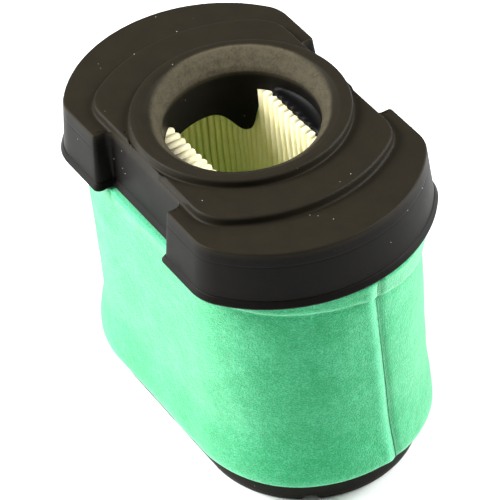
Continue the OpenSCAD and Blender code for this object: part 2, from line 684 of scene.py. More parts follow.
def rounded(points: Sequence[tuple[float, float, float]], steps: int = 5) -> Profile:
    """Rounds the corners of a line.

    Args:
        points: Corners as (across, up, radius); a radius of 0 keeps the corner sharp.
        steps: Pieces in each rounding.

    Returns:
        The line's points.
    """
    line: Profile = []
    for i, (x, z, radius) in enumerate(points):
        here = np.array([x, z])
        if radius <= 0 or i in (0, len(points) - 1):
            line.append((x, z))
            continue
        back = np.array(points[i - 1][:2]) - here
        on = np.array(points[i + 1][:2]) - here
        back_len, on_len = np.linalg.norm(back), np.linalg.norm(on)
        back, on = back / back_len, on / on_len
        half = math.acos(float(np.clip(back @ on, -1, 1))) / 2
        reach = min(radius / math.tan(half), 0.49 * back_len, 0.49 * on_len)
        centre = here + (back + on) / np.linalg.norm(back + on) * reach / math.cos(half)
        r = reach * math.tan(half)
        start, end = here + back * reach - centre, here + on * reach - centre
        sweep = math.acos(float(np.clip(start @ end / (r * r), -1, 1)))
        for k in range(steps + 1):
            t = k / steps
            a = math.sin((1 - t) * sweep) / math.sin(sweep)
            b = math.sin(t * sweep) / math.sin(sweep)
            spot = centre + a * start + b * end
            line.append((float(spot[0]), float(spot[1])))
    return line


def fill_line(line: Profile, longest: float) -> Profile:
    """Adds points to a line so that no piece is longer than a given length.

    Args:
        line: The line's points.
        longest: The longest piece.

    Returns:
        The denser line.
    """
    dense: Profile = [line[0]]
    for (x0, z0), (x1, z1) in zip(line, line[1:]):
        count = max(1, math.ceil(math.hypot(x1 - x0, z1 - z0) / longest))
        dense += [(x0 + (x1 - x0) * k / count, z0 + (z1 - z0) * k / count)
                  for k in range(1, count + 1)]
    return dense


def oval_points(spine: float, radius: float, angles: np.ndarray) -> np.ndarray:
    """Where rays from the middle cross a straight-sided oval.

    Args:
        spine: Half the straight length.
        radius: Radius of the round ends.
        angles: Directions of the rays.

    Returns:
        One (x, y) for each ray.
    """
    c, s = np.cos(angles), np.sin(angles)
    side = radius / np.maximum(np.abs(s), 1e-9)
    reach = np.abs(c) * spine + np.sqrt(np.maximum(radius ** 2 - (s * spine) ** 2, 0))
    r = np.where(side * np.abs(c) <= spine, side, reach)
    return np.stack([r * c, r * s], 1)


def oval_loop(spine: float, count: int) -> tuple[np.ndarray, np.ndarray]:
    """Even stations round a straight-sided oval of mid size.

    Args:
        spine: Half the straight length.
        count: Number of stations.

    Returns:
        The foot of each station on the spine line, and its outward direction, both (x, y).
    """
    straight, turn = 2 * spine, math.pi * 46
    total = 2 * (straight + turn)
    feet, outs = [], []
    for k in range(count):
        s = (k * total / count + turn / 2) % total
        sign = 1 if s < straight + turn else -1
        s = s % (straight + turn)
        if s < turn:
            angle = math.pi * (s / turn - 0.5)
            foot, out = (spine, 0.0), (math.cos(angle), math.sin(angle))
        else:
            foot, out = (spine - (s - turn), 0.0), (0.0, 1.0)
        feet.append((sign * foot[0], 0.0))
        outs.append((sign * out[0], sign * out[1]))
    return np.array(feet), np.array(outs)


def ring_mesh(name: str, rows: np.ndarray, closed: bool = True,
              values: Optional[dict[str, np.ndarray]] = None) -> bpy.types.Object:
    """Joins rows of points into a skin.

    Args:
        name: The object's name.
        rows: Points in millimetres, as (row, station, 3); every row is a closed loop.
        closed: True joins the last row to the first; otherwise each gets a flat face.
        values: Numbers to store at the points, as (row, station).

    Returns:
        The object, with outward normals and smooth shading.
    """
    count, around = rows.shape[:2]
    index = np.arange(count * around).reshape(count, around)
    faces = []
    for r in range(count if closed else count - 1):
        a, b = index[r], index[(r + 1) % count]
        faces += [(int(a[k]), int(a[(k + 1) % around]), int(b[(k + 1) % around]), int(b[k]))
                  for k in range(around)]
    if not closed:
        faces += [tuple(int(k) for k in index[0][::-1]), tuple(int(k) for k in index[-1])]
    mesh = bpy.data.meshes.new(name)
    mesh.from_pydata((rows.reshape(-1, 3) * MM).tolist(), [], faces)
    for key, value in (values or {}).items():
        layer = mesh.attributes.new(key, "FLOAT", "POINT")
        layer.data.foreach_set("value", value.reshape(-1).astype(np.float32))
    return tidy_object(name, mesh)


def tidy_object(name: str, mesh: bpy.types.Mesh) -> bpy.types.Object:
    """Welds a mesh, turns its faces outwards, shades it smooth and links it.

    Args:
        name: The object's name.
        mesh: Its mesh.

    Returns:
        The object.
    """
    work = bmesh.new()
    work.from_mesh(mesh)
    bmesh.ops.remove_doubles(work, verts=work.verts, dist=SKIN_WELD_MM * MM)
    bmesh.ops.dissolve_degenerate(work, edges=work.edges, dist=SKIN_WELD_MM * MM / 4)
    bmesh.ops.recalc_face_normals(work, faces=work.faces)
    work.to_mesh(mesh)
    work.free()
    mesh.shade_smooth()
    return linked(name, mesh)


def settle(piece: bpy.types.Object, body: Body, material: bpy.types.Material,
           replaced: Iterable[str] = ()) -> bpy.types.Object:
    """Gives a finished piece its material and body, and hides the CAD nodes that it replaces.

    Args:
        piece: The piece.
        body: The body that it rides on.
        material: Its finish.
        replaced: CAD nodes that it stands for.

    Returns:
        The same piece.
    """
    piece.data.materials.clear()
    piece.data.materials.append(material)
    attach(piece, body.value)
    for node in replaced:
        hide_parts(node)
    LOG.info("%s: %d faces on %s", piece.name, len(piece.data.polygons), body.value)
    return piece


def wobble(points: np.ndarray, size_mm: float, seed: float) -> np.ndarray:
    """Smooth repeatable noise at points in millimetres.

    Args:
        points: Points as (n, 3).
        size_mm: Size of the features.
        seed: Shift of the pattern.

    Returns:
        A number from about -1 to 1 for each point.
    """
    shift = Vector((seed, -seed, 2 * seed))
    return np.array([noise.noise(Vector(p) / size_mm + shift) for p in points])


def bell(x: np.ndarray, middle: float, width: float) -> np.ndarray:
    """A smooth hump of height 1."""
    return np.exp(-((x - middle) / width) ** 2)


def smooth(x: np.ndarray, low: float, high: float) -> np.ndarray:
    """0 below low, 1 above high, with a smooth climb between them."""
    t = np.clip((x - low) / (high - low), 0, 1)
    return t * t * (3 - 2 * t)


def turned(angle: np.ndarray, middle: float) -> np.ndarray:
    """Angles from a direction, between -180 and 180 degrees."""
    return (angle - middle + 180) % 360 - 180


# -- top cap

@dataclass
class Stations:
    """How many stations each stretch of a quarter of the cap's outline has."""

    end_arc: int = 26
    corner: int = 10
    side: int = 8
    outer_turn: int = 6
    wall: int = 4
    inner_turn: int = 7
    waist: int = 40


@dataclass
class Lobe:
    """A long oval with straight sides, soft corners and long end arcs."""

    half_x: float
    half_y: float
    end_r: float
    corner_r: float

    def start(self, grow: float, n: Stations) -> tuple[list[tuple[float, float]], float, float]:
        """The end arc and the corner of the first quarter.

        Args:
            grow: Outward offset.
            n: Station counts.

        Returns:
            The points, the x where the straight side starts, and the side's y.
        """
        end_r, corner_r = self.end_r + grow, max(self.corner_r + grow, 0.05)
        half_y = self.half_y + grow
        middle = self.half_x - self.end_r
        drop = half_y - corner_r
        corner_x = middle + math.sqrt((end_r - corner_r) ** 2 - drop ** 2)
        meet = math.atan2(drop, corner_x - middle)
        points = [(middle + end_r * math.cos(t), end_r * math.sin(t))
                  for t in np.linspace(0, meet, n.end_arc, endpoint=False)]
        points += [(corner_x + corner_r * math.cos(t), drop + corner_r * math.sin(t))
                   for t in np.linspace(meet, math.pi / 2, n.corner, endpoint=False)]
        return points, corner_x, half_y


@dataclass
class TopCap:
    """The rubber cap: lip, skirt with two waist notches, two steps, ring, funnel and throat."""

    span: Span
    paper: Span
    step: float = 3.45
    lip_out: float = 2.8
    corner_r: float = 15.7
    end_r: float = 55.3
    ring_r: float = 40.7
    throat_r: float = 29.2
    throat_drop: float = 12.8
    waist_y: float = 41.3
    waist_draft: float = 0.06
    notch_x: float = 25.7
    notch_turn: float = 1.1
    notch_inner: float = 2.7
    ring_base: float = 42.4
    opening_r: float = 28.5
    ledge_y: float = 24.4
    ledge_lean: float = 0.09
    ledge_drop: float = 13.6
    roof_drop: float = 23.8
    skirt_draft: float = 0.094
    drip_turn: float = 148.0
    drip: float = 10.5
    grain_lift: float = 0.06
    # The funnel's dust band; on the side that the turn points to, a painted reflection widens it
    # by up to the lean
    reflection_turn: float = 150.0
    dusty_reach: float = 3.6
    reflection_lean: float = 4.0
    scallop: float = 0.9
    scallop_pitch: float = 3.7625
    hold: float = 1.8

    def __post_init__(self) -> None:
        """Works out the outlines from the CAD's span."""
        self.n = Stations()
        self.top = self.span.high
        self.tier_z = self.top - self.step
        self.low_z = self.tier_z - self.step
        self.throat_bottom = self.top - self.throat_drop
        self.outline = Lobe(self.span.half_x - self.lip_out, self.span.half_y - self.lip_out,
                            self.end_r, self.corner_r)
        self.tier = Lobe(56.6, 40.8, 58.1, 15.5)

    def wall_y(self, z: float) -> float:
        """The waist wall's distance from the middle plane at height z."""
        return self.waist_y + self.waist_draft * (self.low_z - z)

    def lobe_row(self, grow: float, z: float) -> np.ndarray:
        """One quarter of the waisted outline.

        Args:
            grow: Outward offset.
            z: Height, which sets where the waist wall is.

        Returns:
            Points as (station, 2).
        """
        n = self.n
        points, corner_x, side_y = self.outline.start(grow, n)
        turn = max(self.notch_turn + 0.45 * grow, 0.05)
        inner = max(self.notch_inner - grow, 0.6)
        wall_x = self.notch_x - grow
        floor = self.wall_y(z) + max(grow - self.skirt_grow(z), 0)
        turn_x = wall_x + turn
        points += [(x, side_y) for x in np.linspace(corner_x, turn_x, n.side, endpoint=False)]
        points += [(turn_x + turn * math.cos(t), side_y - turn + turn * math.sin(t))
                   for t in np.linspace(math.pi / 2, math.pi, n.outer_turn, endpoint=False)]
        points += [(wall_x, y) for y in np.linspace(side_y - turn, floor + inner, n.wall,
                                                    endpoint=False)]
        points += [(wall_x - inner + inner * math.cos(t), floor + inner + inner * math.sin(t))
                   for t in np.linspace(0, -math.pi / 2, n.inner_turn, endpoint=False)]
        points += [(x, floor) for x in np.linspace(wall_x - inner, 0, n.waist + 1)]
        return np.array(points)

    def skirt_grow(self, z: float) -> float:
        """How far the drafted skirt has flared at height z."""
        return max(0.0, (self.low_z - z) * self.skirt_draft)

    def limit(self, points: np.ndarray, z: float) -> np.ndarray:
        """Keeps points of the inner steps behind the waist wall.

        Args:
            points: Points of one quarter.
            z: Their height.

        Returns:
            The kept points.
        """
        inner = self.notch_inner + self.hold
        start = self.notch_x + self.hold - inner
        floor = self.wall_y(z)
        x = points[:, 0]
        along = np.clip(x - start, 0, inner)
        cap = np.where(x <= start + inner,
                       floor + inner - np.sqrt(inner ** 2 - along ** 2), np.inf)
        kept = points.copy()
        kept[:, 1] = np.minimum(kept[:, 1], cap)
        return kept

    def tier_row(self, grow: float, z: float) -> np.ndarray:
        """One quarter of the middle step's outline, never inside the ring's foot.

        Args:
            grow: Outward offset.
            z: Height.

        Returns:
            Points as (station, 2).
        """
        n = self.n
        points, corner_x, side_y = self.tier.start(grow, n)
        tail = n.side + n.outer_turn + n.wall + n.inner_turn
        inner_x = self.notch_x - self.notch_inner
        points += [(x, side_y) for x in np.linspace(corner_x, inner_x, tail, endpoint=False)]
        points += [(x, side_y) for x in np.linspace(inner_x, 0, n.waist + 1)]
        row = np.array(points)
        short = np.linalg.norm(row, axis=1)
        scale = np.maximum(1.0, self.ring_base / np.maximum(short, 1e-6))
        return self.limit(row * scale[:, None], z)

    def ring_row(self, radius: float, z: float) -> np.ndarray:
        """One quarter of a circle of the ring, funnel or throat.

        Args:
            radius: The circle's radius.
            z: Height.

        Returns:
            Points as (station, 2).
        """
        guide = self.tier_row(0, z)
        angles = np.arctan2(guide[:, 1], guide[:, 0])
        return self.limit(np.stack([radius * np.cos(angles), radius * np.sin(angles)], 1), z)

    def whole(self, quarter: np.ndarray) -> np.ndarray:
        """Mirrors a quarter into a full loop."""
        right = np.vstack([quarter, (quarter[::-1] * [-1, 1])[1:]])
        return np.vstack([right, (right[::-1] * [1, -1])[1:-1]])

    def profile(self) -> list[tuple[Callable[[float, float], np.ndarray], Profile]]:
        """The stretches of the section, from the throat out to the underside of the lip.

        Returns:
            For each stretch, the outline that it follows and its line as (offset, height).
        """
        top, mid, low, lip = self.top, self.tier_z, self.low_z, self.span.low
        ring = rounded([(self.throat_r, self.throat_bottom, 0), (self.throat_r, top - 6.6, 1.0),
                        (30.3, top - 5.0, 2.5), (33.0, top - 2.4, 4.0),
                        (36.2, top - 0.35, 1.2), (37.0, top - 0.15, 0.0), (38.6, top, 2.0),
                        (self.ring_r, top - 0.25, 1.1), (self.ring_r + 0.2, mid, 1.7),
                        (self.ring_base, mid, 0)])
        tier = rounded([(-2.2, mid, 0), (0, mid, 1.2), (0.3, low, 1.7), (2.4, low, 0)])
        grow = self.skirt_grow
        seam, part = low - 5.7, lip + 3.0
        skirt = rounded([
            (-self.hold, low, 0), (0, low, 1.2), (grow(seam + 0.8), seam + 0.8, 0),
            (grow(seam + 0.15), seam + 0.15, 0), (grow(seam) - 0.06, seam, 0),
            (grow(seam - 0.15), seam - 0.15, 0), (grow(seam - 0.8), seam - 0.8, 0),
            (grow(part + 0.9), part + 0.9, 0), (grow(part), part + 0.3, 0.1),
            (grow(part) - 0.35, part, 0), (grow(part) + 0.35, part - 0.35, 0.2),
            (self.lip_out + 0.6, lip + 0.8, 0.4),
            (self.lip_out + 0.3, lip, 0.25), (-2.0, lip, 0)])
        return [(self.ring_row, fill_line(ring, 0.9)), (self.tier_row, fill_line(tier, 2.0)),
                (self.lobe_row, fill_line(skirt, 2.5))]

    def opening(self, angles: np.ndarray) -> tuple[np.ndarray, np.ndarray, np.ndarray]:
        """The throat's lower edge: a round wall at the ends, a ledge over the side pleats.

        Args:
            angles: Directions of the stations.

        Returns:
            The plain radius, the scalloped radius and the height at each station.
        """
        oval = np.linalg.norm(oval_points(self.paper.spine, self.ledge_y, angles), axis=1)
        oval = oval * (1 - self.ledge_lean * np.sin(angles))
        beat = np.abs(np.cos(math.pi * oval * np.cos(angles) / self.scallop_pitch)) ** 3
        beat = beat * (np.abs(oval * np.cos(angles)) < self.paper.spine)
        plain = np.minimum(oval, self.opening_r)
        radius = np.minimum(oval - self.scallop * beat, self.opening_r)
        across = np.abs(radius * np.cos(angles))
        ledge, roof = self.top - self.ledge_drop, self.top - self.roof_drop
        height = ledge - (ledge - roof) * smooth(across, 11.0, 25.0)
        turn = np.degrees(angles) % 360
        steep = np.exp(-((turn - self.drip_turn) / 8.5) ** 4)
        drip = np.where(turn < self.drip_turn, steep, bell(turn, self.drip_turn, 14.0))
        return plain, radius, height - self.drip * drip

    def powder(self, loop: np.ndarray, z: float) -> np.ndarray:
        """How much dust lies on a row of the funnel, with a painted reflection that widens the
        band on the side towards -X.

        Args:
            loop: The row's points.
            z: Its height.

        Returns:
            An amount for each point, with a painted highlight line at the band's outer edge on
            that side.
        """
        turn = np.arctan2(loop[:, 1], loop[:, 0])
        # Painted reflection: the band widens towards the turn
        lean = np.clip(np.cos(turn - math.radians(self.reflection_turn)), 0, 1)
        edge = self.throat_r + self.dusty_reach + self.reflection_lean * lean
        inside = edge - np.linalg.norm(loop, axis=1)
        above = float(smooth(np.array(z), self.top - 9, self.top - 4.5))
        # Painted highlight: a bright line at the band's outer edge on that side
        line = bell(inside, 0.3, 0.55) * smooth(lean, 0.55, 0.95)
        return above * (smooth(inside, -0.9, 1.2) + 0.8 * line)

    def build(self, material: bpy.types.Material) -> bpy.types.Object:
        """Makes the cap.

        Args:
            material: The rubber.

        Returns:
            The finished piece.
        """
        rows, dust, top = [], [], []
        for outline, line in self.profile():
            for across, z in line:
                loop = self.whole(outline(across, z))
                rows.append(at_height(loop, z))
                # Funnel rows: dust with painted reflection and highlight; the rest a trace of even
                # dust
                powder = self.powder(loop, z) if outline == self.ring_row else 0 * loop[:, 0]
                dust.append(0.04 + powder)
                # Faces at and above the lowest step get the bloom colour, partly painted light on
                # the tops
                top.append(np.full(len(loop), 1.0 if z > self.low_z - 1.5 else 0.0))
        angles = np.arctan2(rows[0][:, 1], rows[0][:, 0])
        plain, radius, height = self.opening(angles)
        heading = np.stack([np.cos(angles), np.sin(angles)], 1)
        edge, rim = radius[:, None] * heading, plain[:, None] * heading
        inner = oval_points(self.paper.spine, self.ledge_y + 0.6, angles)
        inner = inner * (1 - self.ledge_lean * np.sin(angles))[:, None]
        outer = oval_points(self.paper.spine, self.paper.half_y + 0.3, angles)
        pocket = self.paper.high - 1.4
        lead = [at_height(outer, self.span.low), at_height(outer, pocket),
                at_height(inner, pocket), at_height(inner, np.minimum(height, pocket - 0.2)),
                at_height(edge * 1.012, height), at_height(edge, height + 0.4),
                at_height(rim, height + 0.9),
                at_height(0.6 * rim + 0.4 * self.throat_r * heading,
                          0.6 * (height + 0.9) + 0.4 * self.throat_bottom)]
        zero = np.zeros(len(angles))
        rows = lead + rows
        dust = [zero] * len(lead) + dust
        top = [zero] * len(lead) + top
        grid = np.array(rows)
        flat = grid.reshape(-1, 3)
        lift = wobble(flat, 9.0, 1.3) * self.grain_lift
        flat[:, 2] += lift * (flat[:, 2] > self.throat_bottom)
        piece = ring_mesh("top_cap_rubber", grid, True,
                          {"dust": np.array(dust), "top": np.array(top)})
        return settle(piece, Body.CARTRIDGE, material, ["top_cap"])


# -- bottom cap

@dataclass
class BottomCap:
    """The rubber tray under the paper, standing on a rim with one small arch."""

    span: Span
    around: int = 320
    rim_w: float = 7.0
    recess: float = 3.0
    floor_z: float = 6.5
    arch_r: float = 3.0
    arch_angle: float = -32.0

    def build(self, material: bpy.types.Material) -> bpy.types.Object:
        """Makes the cap.

        Args:
            material: The rubber.

        Returns:
            The finished piece.
        """
        r, high = self.span.half_y, self.span.high
        feet, outs = oval_loop(self.span.spine, self.around)
        section = fill_line(rounded([
            (0.8, self.recess, 0), (r - self.rim_w, self.recess, 0.8),
            (r - self.rim_w + 0.4, 0, 0.8), (r - 0.5, 0, 1.0), (r, 2.5, 2.0), (r, high, 1.0),
            (r - 2.6, high, 0.6), (r - 3.0, self.floor_z, 0.8), (0.8, self.floor_z, 0)], 4), 2.2)
        rows = []
        angle = np.degrees(np.arctan2(outs[:, 1], outs[:, 0]))
        end = feet[:, 0] > self.span.spine - 0.01
        side = np.radians(angle - self.arch_angle) * r
        arch = np.where(end & (np.abs(side) < self.arch_r),
                        np.sqrt(np.maximum(self.arch_r ** 2 - side ** 2, 0)), 0)
        for across, z in section:
            loop = feet + outs * across
            on_rim = across > r - self.rim_w - 1 and z < self.recess
            rows.append(at_height(loop, np.maximum(arch, z) if on_rim else z))
        grid = np.array(rows)
        shape = grid.shape[:2]
        piece = ring_mesh("bottom_cap_rubber", grid, False,
                          {"dust": np.full(shape, 0.1), "top": np.full(shape, 0.2)})
        return settle(piece, Body.CARTRIDGE, material, ["bottom_cap"])


# -- pleated paper

@dataclass
class Pleats:
    """The ring of folded paper and the two beads that space its folds."""

    span: Span
    inner_r: float = 18.2
    shift_y: float = 1.0
    side_count: int = 16
    end_count: int = 24
    thickness: float = 0.5
    fold_in: float = 1.45
    fold_out: float = 0.75
    set_in: float = 1.1
    plug_depth: float = 9.0
    plug_height: float = 2.0
    levels: int = 12
    ripple: float = 1.1
    ripple_scale: float = 90.0
    bead_r: float = 0.9
    bead_steps: int = 360
    bead_lumps: float = 0.45
    bead_scale: float = 260.0

    @property
    def pitch(self) -> float:
        """Distance between folds along a straight side."""
        return 2 * self.span.spine / self.side_count

    def midline(self) -> Profile:
        """The middle of the paper in one pleat.

        Returns:
            The line from outer fold to outer fold, as (out, across).
        """
        outer, inner, half = self.span.half_y - 0.5, self.inner_r + 0.3, self.pitch / 2
        foot, tip = self.fold_in, half - self.fold_out
        return rounded([(outer, -half, 0), (outer, -tip, self.fold_out * 0.9),
                        (inner, -foot, foot * 0.9), (inner, foot, foot * 0.9),
                        (outer, tip, self.fold_out * 0.9), (outer, half, 0)], 4)

    def pleat(self) -> bpy.types.Mesh:
        """One pleat with a real thickness, open where it joins its neighbours.

        Returns:
            Its mesh, which stores how far inside each point is.
        """
        line = np.array(self.midline())
        step = np.gradient(line, axis=0)
        normal = np.stack([step[:, 1], -step[:, 0]], 1)
        normal /= np.linalg.norm(normal, axis=1)[:, None]
        normal[0] = normal[-1] = (-1, 0)
        half = self.thickness / 2
        heights = np.linspace(self.span.low, self.span.high - self.set_in, self.levels)
        count = len(line)
        points, faces, inside = [], [], []
        for z in heights:
            bow = 0.16 * math.sin((z - self.span.low) * 0.11) + 0.08 * math.sin(z * 0.31)
            for sign in (1, -1):
                for (out, across), (nx, ny) in zip(line, normal):
                    points.append((out + sign * nx * half, across + sign * ny * half + bow, z))
                    # Deeper points get more of the paper's painted glow
                    inside.append(float(np.clip((34.0 - out) / 8, 0, 1)))
        index = np.arange(self.levels * 2 * count).reshape(self.levels, 2, count).tolist()
        for level in range(self.levels - 1):
            for side in (0, 1):
                this, above = index[level][side], index[level + 1][side]
                for k in range(count - 1):
                    quad = [this[k], this[k + 1], above[k + 1], above[k]]
                    faces.append(quad if side == 0 else quad[::-1])
        for level in (0, self.levels - 1):
            first, second = index[level]
            for k in range(count - 1):
                quad = [first[k], second[k], second[k + 1], first[k + 1]]
                faces.append(quad if level == 0 else quad[::-1])
        wide, full = self.fold_in - 0.1, self.pitch / 2 - 0.05
        near, far = self.inner_r + 0.45, self.inner_r + self.plug_depth
        half_plug = [(near, wide * 0.6), (near + 0.6, wide), (near + 1.5, wide + 0.15),
                     (near + 2.0, full), (far, full)]
        plug_line = half_plug + [(out, -across) for out, across in half_plug[::-1]]
        start, sides = len(points), len(plug_line)
        for z in (heights[-1] - self.plug_height, heights[-1] + 0.02):
            for out, across in plug_line:
                points.append((out, across, z))
                inside.append(0.0)
        ring = list(range(start, start + sides))
        faces += [ring[::-1], [k + sides for k in ring]]
        faces += [[ring[k], ring[(k + 1) % sides], ring[(k + 1) % sides] + sides, ring[k] + sides]
                  for k in range(sides)]
        mesh = bpy.data.meshes.new("one_pleat")
        mesh.from_pydata([tuple(v * MM for v in p) for p in points], [], faces)
        layer = mesh.attributes.new("inside", "FLOAT", "POINT")
        layer.data.foreach_set("value", np.array(inside, np.float32))
        return mesh

    def fan_tree(self) -> NodeGroup:
        """Sets one pleat side by side along both straights and fans it round both ends.

        Returns:
            The tree, with its sizes as named inputs.
        """
        g = NodeGroup("pleat_ring")
        spine, pitch = g.size("Spine"), g.size("Pitch")
        sides = g.size("Side Pleats", "NodeSocketInt")
        ends = g.size("End Pleats", "NodeSocketInt")
        ripple, material = g.size("Ripple"), g.size("Material", "NodeSocketMaterial")
        spot = g.node("GeometryNodeInputPosition")
        split = {axis: g.node("ShaderNodeSeparateXYZ", values={0: spot}, out=axis)
                 for axis in "XYZ"}
        angle = split["Y"] * math.pi / ends / pitch
        bent = g.node("ShaderNodeCombineXYZ", values={
            "X": split["X"] * angle.cos(), "Y": split["X"] * angle.sin(), "Z": split["Z"]})
        fan = g.node("GeometryNodeSetPosition", values={"Geometry": g.geometry, "Position": bent})
        index = g.node("GeometryNodeInputIndex")
        made = []
        for sign in (1, -1):
            turn = g.node("ShaderNodeCombineXYZ", values={"Z": sign * math.pi / 2})
            first = g.node("ShaderNodeCombineXYZ", values={"X": (pitch / 2) - spine})
            step = g.node("ShaderNodeCombineXYZ", values={"X": pitch})
            row = g.node("GeometryNodeMeshLine", values={
                "Count": sides, "Start Location": first, "Offset": step})
            made.append(g.node("GeometryNodeInstanceOnPoints", values={
                "Points": row, "Instance": g.geometry, "Rotation": turn}))
            place = g.node("ShaderNodeCombineXYZ", values={"X": spine * sign})
            spots = g.node("GeometryNodeMeshLine", values={
                "Count": ends, "Start Location": place, "Offset": (0.0, 0.0, 0.0)})
            heading = (index + 0.5) * math.pi / ends - sign * math.pi / 2
            swing = g.node("ShaderNodeCombineXYZ", values={"Z": heading})
            made.append(g.node("GeometryNodeInstanceOnPoints", values={
                "Points": spots, "Instance": fan, "Rotation": swing}))
        ring = g.node("GeometryNodeJoinGeometry", values={"Geometry": made})
        real = g.node("GeometryNodeRealizeInstances", values={"Geometry": ring})
        weld = g.node("GeometryNodeMergeByDistance", values={
            "Geometry": real, "Distance": FOLD_WELD_MM * MM})
        wave = g.node("ShaderNodeTexNoise", values={
            "Vector": spot, "Scale": self.ripple_scale, "Detail": 1.0}, out="Color")
        centred = g.node("ShaderNodeVectorMath", {"operation": "SUBTRACT"},
                         {0: wave, 1: (0.5, 0.5, 0.5)})
        flat = g.node("ShaderNodeVectorMath", {"operation": "MULTIPLY"},
                      {0: centred, 1: (1.0, 1.0, 0.0)})
        shift = g.node("ShaderNodeVectorMath", {"operation": "SCALE"}, {0: flat, "Scale": ripple})
        moved = g.node("GeometryNodeSetPosition", values={"Geometry": weld, "Offset": shift})
        g.end(moved, material)
        return g

    def build(self, material: bpy.types.Material) -> bpy.types.Object:
        """Makes the ring of pleats.

        Args:
            material: The paper.

        Returns:
            The finished piece.
        """
        piece = linked("pleat_ring", self.pleat())
        self.fan_tree().apply(piece, {
            "Spine": self.span.spine * MM, "Pitch": self.pitch * MM,
            "Side Pleats": self.side_count, "End Pleats": self.end_count,
            "Ripple": self.ripple * MM, "Material": material})
        piece.data.transform(Matrix.Translation((0, self.shift_y * MM, 0)))
        return settle(piece, Body.CARTRIDGE, material, ["pleated_paper"])

    def bead(self, node: str, material: bpy.types.Material) -> bpy.types.Object:
        """Makes one bead round the outer folds.

        Args:
            node: The CAD node that it stands for.
            material: The adhesive.

        Returns:
            The finished piece.
        """
        span = Span.of(node)
        feet, outs = oval_loop(span.spine, self.bead_steps)
        loop = feet + outs * (span.half_y - self.bead_r)
        points = [(x * MM, (y + self.shift_y) * MM, (span.low + span.high) / 2 * MM)
                  for x, y in loop]
        mesh = bpy.data.meshes.new(node)
        mesh.from_pydata(points, [(k, (k + 1) % len(points)) for k in range(len(points))], [])
        piece = linked(node + "_run", mesh)
        g = NodeGroup(node + "_run")
        radius, lumps = g.size("Radius"), g.size("Lumps")
        dress = g.size("Material", "NodeSocketMaterial")
        run = g.node("GeometryNodeMeshToCurve", values={"Mesh": g.geometry})
        spot = g.node("GeometryNodeInputPosition")
        wave = g.node("ShaderNodeTexNoise", values={
            "Vector": spot, "Scale": self.bead_scale, "Detail": 1.0}) - 0.5
        sized = g.node("GeometryNodeSetCurveRadius", values={
            "Curve": run, "Radius": 1 + wave * lumps})
        ring = g.node("GeometryNodeCurvePrimitiveCircle", values={
            "Resolution": 10, "Radius": radius})
        tube = g.node("GeometryNodeCurveToMesh", values={
            "Curve": sized, "Profile Curve": ring, "Scale": 1 + wave * lumps})
        g.end(tube, dress)
        g.apply(piece, {"Radius": self.bead_r * MM * 0.9, "Lumps": self.bead_lumps,
                        "Material": material})
        return settle(piece, Body.CARTRIDGE, material, [node])


# -- foam sleeve

